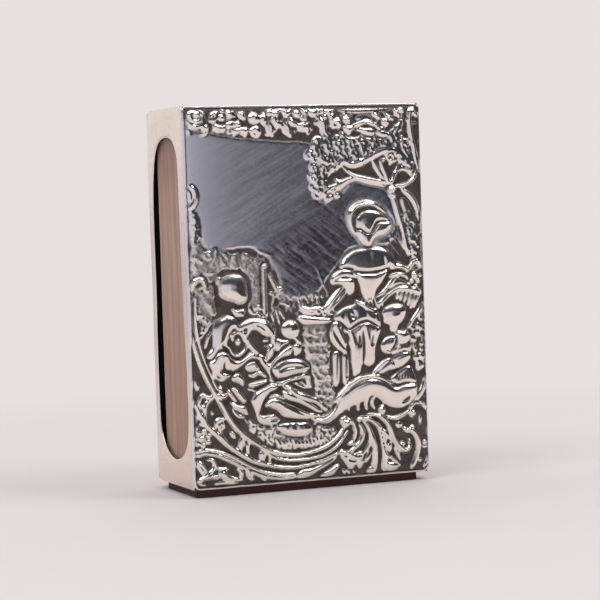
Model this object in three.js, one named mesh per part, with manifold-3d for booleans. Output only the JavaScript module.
// An embossed silver cover for a box of matches, with the box and its matches inside.
// Millimetres. +Z is up, the embossed front faces -Y, and the origin is the middle of the base.
import * as THREE from "three";
import { mergeVertices } from "three/addons/utils/BufferGeometryUtils.js";
import Module from "manifold-3d";

const wasm = await Module();
wasm.setup();

// Driving dimensions of the silver cover
const COVER_WIDTH = 38.6;
const COVER_DEPTH = 18.4;
const COVER_HEIGHT = 56.6;
const BOX_PROUD = 1.2; // the matchbox stands this far out below the cover
const SHEET = 0.4; // thickness of the silver sheet
const RELIEF_HIGH = 1.0; // height of the embossing over its ground
const PANEL_ROLL = 0.6; // radius of the panel's rim and corners, where it turns back
const RIM_RETURN = 0.6; // depth of the turned rim, from the ground of the embossing
const RELIEF_CELL = 1.0; // spacing of the points that describe the embossing
const CORNER_STEPS = 3; // facets round each corner of the panel
const ROLL_STEPS = 2; // and over its turned rim
const SEAM = 0.02; // gap left at the soldered seam
const CHANNEL_INSET = 0.1; // the channel's sides stand this far inside the panel's rim
const BEND_RADIUS = 1.2; // outside radius of the channel's two bends
const TOP_EASE = { deep: 2.8, high: 0.9 }; // rounding of the channel's rear top corners
const FOOT_EASE = { deep: 3.6, high: 1.0 }; // and of its rear bottom corners

// The outline of the two striker windows, in depth and height; they widen a little towards the foot
const WINDOW_OUTLINE = [
  [0.0, 53.45],
  [2.9, 52.95],
  [4.75, 51.5],
  [5.6, 49.7],
  [6.3, 46.4],
  [6.65, 41.0],
  [6.85, 27.0],
  [6.8, 13.4],
  [6.2, 9.3],
  [4.4, 6.8],
  [2.1, 5.55],
  [-0.4, 5.2],
  [-2.8, 5.8],
  [-4.8, 7.2],
  [-5.9, 9.5],
  [-6.3, 14.0],
  [-5.95, 22.5],
  [-5.45, 33.5],
  [-5.15, 44.0],
  [-5.0, 49.0],
  [-4.45, 51.2],
  [-2.8, 52.9],
];
const WINDOW_STEPS = 84;

// The matchbox
const SLEEVE_WIDTH = 35.6;
const SLEEVE_DEPTH = 13.6;
const SLEEVE_HEIGHT = 57.0;
const SLEEVE_MIDDLE = { x: -0.5, y: -0.6 }; // it has slipped to one side of the cover
const SLEEVE_CORNER = 0.5;
const CARD = 0.45;
const STRIKER_WIDTH = 12.8;
const STRIKER_THICK = 0.15;
const TRAY_PLAY = 0.2; // clearance all round between the tray and the sleeve
const TRAY_BASE = 0.3; // height of the tray's lower end over the surface

// The matches
const MATCHES_ACROSS = 12;
const MATCH_LAYERS = 2;
const MATCH_PITCH = 2.7;
const STICK_SIDE = 2.0;
const STICK_LENGTH = 43.0;
const HEAD_RADIUS = 1.2;
const HEAD_LENGTH = 3.6;
const HEAD_NECK = 0.95; // radius of the head where it meets the stick
const MATCH_GAP = 0.1; // space between the matches and the tray
const MATCH_RISE = 0.5; // how unevenly the matches stand
const MATCH_LEAN = 0.2; // how far they lean, in degrees

const coverBottom = BOX_PROUD;
const coverTop = BOX_PROUD + COVER_HEIGHT;
const coverMiddle = (coverBottom + coverTop) / 2;
const halfCover = COVER_WIDTH / 2;
const front = -COVER_DEPTH / 2;
const back = COVER_DEPTH / 2;
const ground = front + RELIEF_HIGH;
const panelInner = ground + SHEET;
const rimEnd = ground + RIM_RETURN;

const silver = new THREE.MeshStandardMaterial({ color: 0xd9d6cf, roughness: 0.18, metalness: 1 });
const plainSilver = new THREE.MeshStandardMaterial({ color: 0xe2dcd4, roughness: 0.25, metalness: 1 });
const redCard = new THREE.MeshStandardMaterial({ color: 0x4a2620, roughness: 0.85 });
const greyCard = new THREE.MeshStandardMaterial({ color: 0xb9ab93, roughness: 0.9 });
const strikerCoat = new THREE.MeshStandardMaterial({ color: 0x9a7767, roughness: 0.95 });
const aspen = new THREE.MeshStandardMaterial({ color: 0xd8bf95, roughness: 0.8 });
const headCoat = new THREE.MeshStandardMaterial({ color: 0x7c2f22, roughness: 0.7 });

// A closed geometry as a manifold solid
function solid(geometry) {
  const bare = geometry.clone();
  bare.deleteAttribute("normal");
  bare.deleteAttribute("uv");
  const merged = mergeVertices(bare, 1e-4);
  return new wasm.Manifold(
    new wasm.Mesh({
      numProp: 3,
      vertProperties: new Float32Array(merged.attributes.position.array),
      triVerts: new Uint32Array(merged.index.array),
    }),
  );
}

// A manifold solid as a geometry
function geometryOf(made) {
  const mesh = made.getMesh();
  const geometry = new THREE.BufferGeometry();
  geometry.setAttribute("position", new THREE.BufferAttribute(mesh.vertProperties, 3));
  geometry.setIndex(new THREE.BufferAttribute(mesh.triVerts, 1));
  const flat = geometry.toNonIndexed();
  flat.computeVertexNormals();
  return flat;
}

function piece(name, geometry, material) {
  const mesh = new THREE.Mesh(geometry, material);
  mesh.name = name;
  return mesh;
}

// A box between two corners
function block(low, high) {
  const size = high.map((value, k) => value - low[k]);
  const geometry = new THREE.BoxGeometry(...size);
  return geometry.translate(...low.map((value, k) => value + size[k] / 2));
}

// A rectangle with round corners, as a Shape or as a hole
function roundedRectangle(width, height, radius, Kind = THREE.Shape) {
  const x = width / 2;
  const y = height / 2;
  const path = new Kind();
  path.moveTo(-x + radius, -y);
  path.lineTo(x - radius, -y);
  path.absarc(x - radius, -y + radius, radius, -Math.PI / 2, 0);
  path.lineTo(x, y - radius);
  path.absarc(x - radius, y - radius, radius, 0, Math.PI / 2);
  path.lineTo(-x + radius, y);
  path.absarc(-x + radius, y - radius, radius, Math.PI / 2, Math.PI);
  path.lineTo(-x, -y + radius);
  path.absarc(-x + radius, -y + radius, radius, Math.PI, 1.5 * Math.PI);
  return path;
}

// Turns an extrusion whose outline was drawn as (y, z) so that it runs along X
function alongX(geometry) {
  const turn = new THREE.Matrix4().makeBasis(
    new THREE.Vector3(0, 1, 0),
    new THREE.Vector3(0, 0, 1),
    new THREE.Vector3(1, 0, 0),
  );
  return geometry.applyMatrix4(turn);
}

// The embossing is laid out on the panel: u runs right from its left edge and v up from its bottom edge.
// A boss is an oval dome [u, v, half length, half height, turn in degrees, height].
// A cord is a rounded ridge along a smooth line, thinner towards its ends.

// The seated pair on the left: the one in the hat and the one bent over beside it
const LEFT_FIGURES = [
  [7.2, 30.0, 2.7, 2.8, 0, 1.0],
  [7.6, 22.6, 4.2, 3.2, 0, 0.7],
  [5.2, 18.6, 3.6, 1.5, 10, 0.8],
  [11.4, 23.0, 1.9, 3.4, 35, 0.7],
  [15.3, 22.3, 2.5, 2.4, 20, 1.0],
  [15.8, 17.8, 3.2, 1.6, 10, 0.8],
  [14.4, 14.0, 4.2, 1.5, -8, 0.9],
  [18.2, 12.2, 4.0, 1.3, -38, 0.8],
  [6.6, 12.8, 1.6, 3.6, 20, 0.6],
  [11.8, 10.4, 1.9, 1.0, 20, 0.6],
];

// The standing figure at the right: bonnet, face, bodice, waist, arms, overskirt and skirt
const STANDING_FIGURE = [
  [28.8, 40.7, 3.6, 2.3, -14, 1.0],
  [30.9, 38.4, 1.6, 2.1, -20, 0.8],
  [29.0, 35.9, 1.1, 1.6, 0, 0.6],
  [29.3, 32.8, 4.4, 2.4, 0, 1.0],
  [29.3, 29.2, 2.3, 2.6, 0, 0.7],
  [24.9, 30.2, 1.7, 2.6, 25, 0.8],
  [34.8, 31.9, 2.6, 1.2, 10, 0.7],
  [27.0, 25.0, 3.9, 2.1, 0, 0.9],
  [24.6, 19.6, 1.4, 4.4, -6, 0.6],
  [28.2, 19.4, 1.6, 4.2, 4, 0.6],
];

// The small seated figure at the far right, with its wide skirt
const SMALL_FIGURE = [
  [33.1, 24.5, 2.3, 2.4, 0, 0.9],
  [33.9, 19.4, 2.4, 2.9, 0, 0.8],
  [31.2, 13.2, 5.6, 2.3, 16, 0.9],
  [24.2, 10.8, 4.8, 1.2, 24, 0.6],
];

// The crown of the tree, the post behind the hat, and the rough block the figures lean on
const BACKGROUND = [
  [32.0, 49.0, 5.0, 1.7, -6, 0.6],
  [26.0, 47.6, 3.6, 1.7, 12, 0.5],
  [23.0, 43.6, 1.8, 2.4, 20, 0.4],
  [12.2, 29.4, 0.9, 4.0, 0, 0.5],
  [20.2, 18.4, 2.2, 6.0, 0, 0.35],
];

// Flowers, leaves and a shell along the top edge
const GARLAND = [
  [2.3, 54.6, 1.5, 1.5, 0, 0.7],
  [6.3, 54.3, 1.6, 1.5, 0, 0.7],
  [10.2, 53.6, 1.7, 0.9, -30, 0.6],
  [13.8, 54.2, 1.6, 0.9, 40, 0.6],
  [18.2, 54.4, 1.6, 1.5, 0, 0.7],
  [22.6, 54.0, 1.7, 1.0, 30, 0.6],
  [28.6, 53.2, 2.6, 1.0, -20, 0.6],
  [32.6, 53.6, 1.7, 1.4, 0, 0.7],
];

// The rosette, the corner leaves and the volutes of the frame
const FRAME_BOSSES = [
  [2.1, 7.6, 1.6, 1.5, 0, 0.7],
  [4.4, 2.6, 3.4, 1.3, 15, 0.6],
  [24.3, 8.2, 1.3, 1.2, 0, 0.7],
  [36.8, 9.2, 1.5, 1.1, 0, 0.6],
  [1.5, 29.6, 1.2, 1.3, 0, 0.7],
];

const CORDS = [
  {
    line: [[1.3, 29.6], [1.4, 24.0], [2.8, 17.0], [5.8, 11.0], [10.5, 6.4], [17.5, 4.4], [24.0, 7.2]],
    radius: 0.9,
    high: 0.8,
  },
  {
    line: [[1.2, 13.4], [3.6, 9.2], [8.0, 5.0], [14.0, 2.6], [21.5, 2.9]],
    radius: 0.9,
    high: 0.7,
  },
  {
    line: [[1.2, 5.2], [7.0, 4.2], [13.0, 1.9], [18.0, 1.2]],
    radius: 0.8,
    high: 0.6,
  },
  {
    line: [[25.4, 9.0], [26.4, 6.0], [29.6, 1.2]],
    radius: 1.2,
    high: 0.8,
  },
  {
    line: [[27.6, 9.2], [29.4, 6.4], [32.0, 3.4]],
    radius: 1.1,
    high: 0.8,
  },
  {
    line: [[30.0, 9.0], [32.6, 7.2], [34.6, 4.6]],
    radius: 0.9,
    high: 0.7,
  },
  {
    line: [[22.6, 1.6], [24.8, 3.2], [26.6, 4.8]],
    radius: 1.0,
    high: 0.7,
  },
  {
    line: [[34.8, 7.2], [36.9, 5.0], [36.0, 1.9], [33.4, 1.2]],
    radius: 0.8,
    high: 0.7,
  },
  {
    line: [[37.0, 55.0], [37.0, 50.5], [36.4, 46.0], [33.6, 43.4], [35.6, 38.6], [36.9, 33.6]],
    radius: 1.0,
    high: 0.8,
  },
  {
    line: [[33.8, 43.8], [36.0, 42.2], [37.4, 39.6]],
    radius: 0.8,
    high: 0.6,
  },
  {
    line: [[24.6, 29.4], [23.0, 27.0], [20.4, 25.8]],
    radius: 1.0,
    high: 0.8,
  },
  {
    line: [[32.6, 20.6], [30.6, 18.0], [29.6, 15.6]],
    radius: 0.9,
    high: 0.7,
  },
  {
    line: [[1.4, 55.9], [14.0, 55.9], [27.0, 55.9], [37.0, 55.9]],
    radius: 0.9,
    high: 0.6,
  },
];

function bossHeight([u0, v0, a, b, turn, high], u, v) {
  const angle = THREE.MathUtils.degToRad(turn);
  const along = (u - u0) * Math.cos(angle) + (v - v0) * Math.sin(angle);
  const across = (v - v0) * Math.cos(angle) - (u - u0) * Math.sin(angle);
  const left = 1 - (along / a) ** 2 - (across / b) ** 2;
  return left > 0 ? high * left ** 0.6 : 0;
}

// Points along a cord, each with how full the cord is there
function cordSamples({ line, radius, high }) {
  const curve = new THREE.CatmullRomCurve3(line.map(([u, v]) => new THREE.Vector3(u, v, 0)));
  const steps = 60;
  return curve.getSpacedPoints(steps).map((point, k) => {
    const full = 0.5 + 0.5 * Math.sin((Math.PI * k) / steps);
    return { point, radius: radius * full, high: high * full };
  });
}

const bosses = [LEFT_FIGURES, STANDING_FIGURE, SMALL_FIGURE, BACKGROUND, GARLAND, FRAME_BOSSES].flat();
const cordPoints = CORDS.flatMap(cordSamples);

// How far the embossing stands out at one place, as a share of its full height
function reliefHeight(u, v) {
  const ridges = cordPoints.map(({ point, radius, high }) => {
    const left = 1 - ((u - point.x) ** 2 + (v - point.y) ** 2) / radius ** 2;
    return left > 0 ? high * left ** 0.6 : 0;
  });
  const edge = Math.min(u, v, COVER_WIDTH - u, COVER_HEIGHT - v) - PANEL_ROLL;
  const fade = THREE.MathUtils.smoothstep(edge, 0, 0.8);
  return fade * Math.max(0, ...ridges, ...bosses.map((one) => bossHeight(one, u, v)));
}

const panelCells = {
  across: Math.round((COVER_WIDTH - 2 * PANEL_ROLL) / RELIEF_CELL),
  up: Math.round((COVER_HEIGHT - 2 * PANEL_ROLL) / RELIEF_CELL),
};

// The number of a point of the panel's grid, counted along its rows from the bottom left
function gridIndex(i, k) {
  return k * (panelCells.across + 1) + i;
}

// The embossed front as a grid of points
function reliefPoints() {
  const { across, up } = panelCells;
  const spots = [];
  for (let k = 0; k <= up; k++) {
    for (let i = 0; i <= across; i++) {
      const u = THREE.MathUtils.lerp(PANEL_ROLL, COVER_WIDTH - PANEL_ROLL, i / across);
      const v = THREE.MathUtils.lerp(PANEL_ROLL, COVER_HEIGHT - PANEL_ROLL, k / up);
      spots.push({ u, v, height: reliefHeight(u, v) });
    }
  }
  const most = Math.max(...spots.map(({ height }) => height));
  return spots.map(({ u, v, height }) => {
    return [u - halfCover, ground - (RELIEF_HIGH * height) / most, v + coverBottom];
  });
}

// A four-sided face as two triangles, or one where two of its corners are the same point
function addQuad(faces, a, b, c, d) {
  for (const face of [[a, b, c], [a, c, d]]) {
    if (new Set(face).size === 3) {
      faces.push(face);
    }
  }
}

// The triangles of the grid, each cell split along its flatter diagonal
function addReliefFaces(faces, points) {
  const rise = (first, second) => Math.abs(points[first][1] - points[second][1]);
  for (let k = 0; k < panelCells.up; k++) {
    for (let i = 0; i < panelCells.across; i++) {
      const a = gridIndex(i, k);
      const b = gridIndex(i + 1, k);
      const c = gridIndex(i + 1, k + 1);
      const d = gridIndex(i, k + 1);
      if (rise(a, c) < rise(b, d)) {
        addQuad(faces, a, b, c, d);
      } else {
        addQuad(faces, b, c, d, a);
      }
    }
  }
}

// The border of the grid, with each point's way outward.
// A corner point comes up once for each step round it.
function gridBorder() {
  const { across, up } = panelCells;
  const corners = [[0, 0, 180], [across, 0, 270], [across, up, 0], [0, up, 90]];
  const border = [];
  corners.forEach(([i, k, angle], side) => {
    for (let turn = 0; turn <= CORNER_STEPS; turn++) {
      border.push({ index: gridIndex(i, k), angle: angle + (90 * turn) / CORNER_STEPS });
    }
    const [nextI, nextK] = corners[(side + 1) % 4];
    const count = Math.abs(nextI - i) + Math.abs(nextK - k);
    for (let n = 1; n < count; n++) {
      const index = gridIndex(i + ((nextI - i) * n) / count, k + ((nextK - k) * n) / count);
      border.push({ index, angle: angle + 90 });
    }
  });
  return border;
}

// The section of the turned rim: each loop's distance outward from the border, and its y
function rimSection() {
  const section = [];
  for (let step = 1; step <= ROLL_STEPS; step++) {
    const angle = ((step / ROLL_STEPS) * Math.PI) / 2;
    const y = ground + RIM_RETURN * (1 - Math.cos(angle));
    section.push([PANEL_ROLL * Math.sin(angle), y]);
  }
  section.push([PANEL_ROLL - SHEET, rimEnd]);
  section.push([PANEL_ROLL - SHEET, panelInner]);
  return section;
}

// The stamped front panel: an embossed sheet whose rim turns back on all four sides.
// Loops of points run from the border of its grid round the rim to the flat back.
function embossedFrontPanel() {
  const points = reliefPoints();
  const faces = [];
  addReliefFaces(faces, points);
  const border = gridBorder();
  let last = border.map(({ index }) => index);
  for (const [outward, y] of rimSection()) {
    const next = border.map(({ index, angle }) => {
      const turned = THREE.MathUtils.degToRad(angle);
      const [x, , z] = points[index];
      points.push([x + outward * Math.cos(turned), y, z + outward * Math.sin(turned)]);
      return points.length - 1;
    });
    next.forEach((index, n) => {
      const following = (n + 1) % next.length;
      addQuad(faces, last[n], index, next[following], last[following]);
    });
    last = next;
  }
  const middle = points.length;
  points.push([0, panelInner, coverMiddle]);
  last.forEach((index, n) => faces.push([last[(n + 1) % last.length], index, middle]));

  const geometry = new THREE.BufferGeometry();
  geometry.setAttribute("position", new THREE.Float32BufferAttribute(points.flat(), 3));
  geometry.setIndex(faces.flat());
  geometry.computeVertexNormals();
  return geometry;
}

// The plain back and sides, bent from one strip into a channel, seen from above
function channelOutline() {
  const outerX = halfCover - CHANNEL_INSET;
  const innerX = outerX - SHEET;
  const start = rimEnd + SEAM;
  const bendInside = BEND_RADIUS - SHEET;
  const outline = new THREE.Shape();
  outline.moveTo(-outerX, start);
  outline.lineTo(-innerX, start);
  outline.lineTo(-innerX, back - BEND_RADIUS);
  outline.absarc(-outerX + BEND_RADIUS, back - BEND_RADIUS, bendInside, Math.PI, Math.PI / 2, true);
  outline.lineTo(outerX - BEND_RADIUS, back - SHEET);
  outline.absarc(outerX - BEND_RADIUS, back - BEND_RADIUS, bendInside, Math.PI / 2, 0, true);
  outline.lineTo(innerX, start);
  outline.lineTo(outerX, start);
  outline.lineTo(outerX, back - BEND_RADIUS);
  outline.absarc(outerX - BEND_RADIUS, back - BEND_RADIUS, BEND_RADIUS, 0, Math.PI / 2);
  outline.lineTo(-outerX + BEND_RADIUS, back);
  outline.absarc(-outerX + BEND_RADIUS, back - BEND_RADIUS, BEND_RADIUS, Math.PI / 2, Math.PI);
  return outline;
}

// What is eased off a rear corner: the part of a corner block outside a quarter oval
function easedCorner({ deep, high }, edge, towards) {
  const spare = 1;
  const steps = 8;
  const outline = new THREE.Shape();
  outline.moveTo(back - deep, edge + towards * spare);
  for (let k = 0; k <= steps; k++) {
    const angle = ((k / steps) * Math.PI) / 2;
    outline.lineTo(back - deep + deep * Math.sin(angle), edge - towards * high * (1 - Math.cos(angle)));
  }
  outline.lineTo(back + spare, edge - towards * high);
  outline.lineTo(back + spare, edge + towards * spare);
  const geometry = new THREE.ExtrudeGeometry(outline, { depth: COVER_WIDTH, bevelEnabled: false });
  geometry.translate(0, 0, -halfCover);
  return alongX(geometry);
}

// A round-ended slot right through both sides of the channel
function strikerWindows() {
  const points = WINDOW_OUTLINE.map(([y, z]) => new THREE.Vector3(y, z, 0));
  const curve = new THREE.CatmullRomCurve3(points, true, "centripetal");
  const outline = new THREE.Shape(curve.getPoints(WINDOW_STEPS).slice(0, -1));
  const through = 2 * COVER_WIDTH;
  const geometry = new THREE.ExtrudeGeometry(outline, { depth: through, bevelEnabled: false });
  geometry.translate(0, 0, -through / 2);
  return alongX(geometry);
}

function backChannel() {
  const strip = new THREE.ExtrudeGeometry(channelOutline(), {
    depth: COVER_HEIGHT,
    bevelEnabled: false,
    curveSegments: 5,
  });
  strip.translate(0, 0, coverBottom);
  const made = solid(strip)
    .subtract(solid(strikerWindows()))
    .subtract(solid(easedCorner(TOP_EASE, coverTop, 1)))
    .subtract(solid(easedCorner(FOOT_EASE, coverBottom, -1)));
  return geometryOf(made);
}

// The outer sleeve of the matchbox: a card tube open at both ends
function sleeve() {
  const outline = roundedRectangle(SLEEVE_WIDTH, SLEEVE_DEPTH, SLEEVE_CORNER);
  const inside = [SLEEVE_WIDTH - 2 * CARD, SLEEVE_DEPTH - 2 * CARD, SLEEVE_CORNER / 2];
  outline.holes.push(roundedRectangle(...inside, THREE.Path));
  const geometry = new THREE.ExtrudeGeometry(outline, {
    depth: SLEEVE_HEIGHT,
    bevelEnabled: false,
    curveSegments: 3,
  });
  return geometry.translate(SLEEVE_MIDDLE.x, SLEEVE_MIDDLE.y, 0);
}

// The striking strip on one narrow side of the sleeve
function striker(side) {
  const inner = SLEEVE_MIDDLE.x + (side * SLEEVE_WIDTH) / 2;
  const outer = inner + side * STRIKER_THICK;
  const halfWidth = STRIKER_WIDTH / 2;
  return block(
    [Math.min(inner, outer), SLEEVE_MIDDLE.y - halfWidth, 0],
    [Math.max(inner, outer), SLEEVE_MIDDLE.y + halfWidth, SLEEVE_HEIGHT],
  );
}

// The tray: open towards the front, with four walls and a floor of card
const trayWidth = SLEEVE_WIDTH - 2 * (CARD + TRAY_PLAY);
const trayDepth = SLEEVE_DEPTH - 2 * (CARD + TRAY_PLAY);
const trayTop = SLEEVE_HEIGHT - TRAY_BASE;
const trayBack = SLEEVE_MIDDLE.y + trayDepth / 2;
const trayFront = SLEEVE_MIDDLE.y - trayDepth / 2;

function tray() {
  const halfWidth = trayWidth / 2;
  const left = SLEEVE_MIDDLE.x - halfWidth;
  const right = SLEEVE_MIDDLE.x + halfWidth;
  const outside = block([left, trayFront, TRAY_BASE], [right, trayBack, trayTop]);
  const hollow = block(
    [left + CARD, trayFront - 1, TRAY_BASE + CARD],
    [right - CARD, trayBack - CARD, trayTop - CARD],
  );
  return geometryOf(solid(outside).subtract(solid(hollow)));
}

// The drop-shaped head of a match
function matchHead() {
  const steps = 5;
  const profile = [new THREE.Vector2(0, 0), new THREE.Vector2(HEAD_NECK, 0)];
  for (let k = 1; k < steps; k++) {
    const t = k / steps;
    const radius = HEAD_RADIUS * Math.sin(Math.PI * (0.3 + 0.7 * t)) ** 0.5;
    profile.push(new THREE.Vector2(radius, HEAD_LENGTH * Math.sin((t * Math.PI) / 2)));
  }
  profile.push(new THREE.Vector2(0, HEAD_LENGTH));
  return new THREE.LatheGeometry(profile, 8).rotateX(Math.PI / 2);
}

// Two layers of matches, heads up, that lie against the floor of the tray
function matches() {
  const group = new THREE.Group();
  const deepest = trayBack - CARD - MATCH_GAP - HEAD_RADIUS;
  const lowest = TRAY_BASE + CARD + MATCH_GAP;
  for (let layer = 0; layer < MATCH_LAYERS; layer++) {
    for (let column = 0; column < MATCHES_ACROSS; column++) {
      const count = layer * MATCHES_ACROSS + column + 1;
      const label = String(count).padStart(2, "0");
      const x = SLEEVE_MIDDLE.x + (column - (MATCHES_ACROSS - 1) / 2) * MATCH_PITCH;
      const rise = MATCH_RISE * (1 + Math.sin(2.4 * count));
      const match = new THREE.Group();
      match.position.set(x, deepest - layer * MATCH_PITCH, lowest + rise + STICK_LENGTH / 2);
      match.rotation.y = THREE.MathUtils.degToRad(MATCH_LEAN * Math.sin(1.7 * count));
      const stick = new THREE.BoxGeometry(STICK_SIDE, STICK_SIDE, STICK_LENGTH);
      match.add(piece(`match_stick_${label}`, stick, aspen));
      const head = piece(`match_head_${label}`, matchHead(), headCoat);
      head.position.z = STICK_LENGTH / 2 + SEAM;
      match.add(head);
      group.add(match);
    }
  }
  return group;
}

const object = new THREE.Group();
object.add(
  piece("embossed_front_panel", embossedFrontPanel(), silver),
  piece("back_and_side_channel", backChannel(), plainSilver),
  piece("matchbox_sleeve", sleeve(), redCard),
  piece("striker_strip_left", striker(-1), strikerCoat),
  piece("striker_strip_right", striker(1), strikerCoat),
  piece("matchbox_tray", tray(), greyCard),
  matches(),
);

export default object;
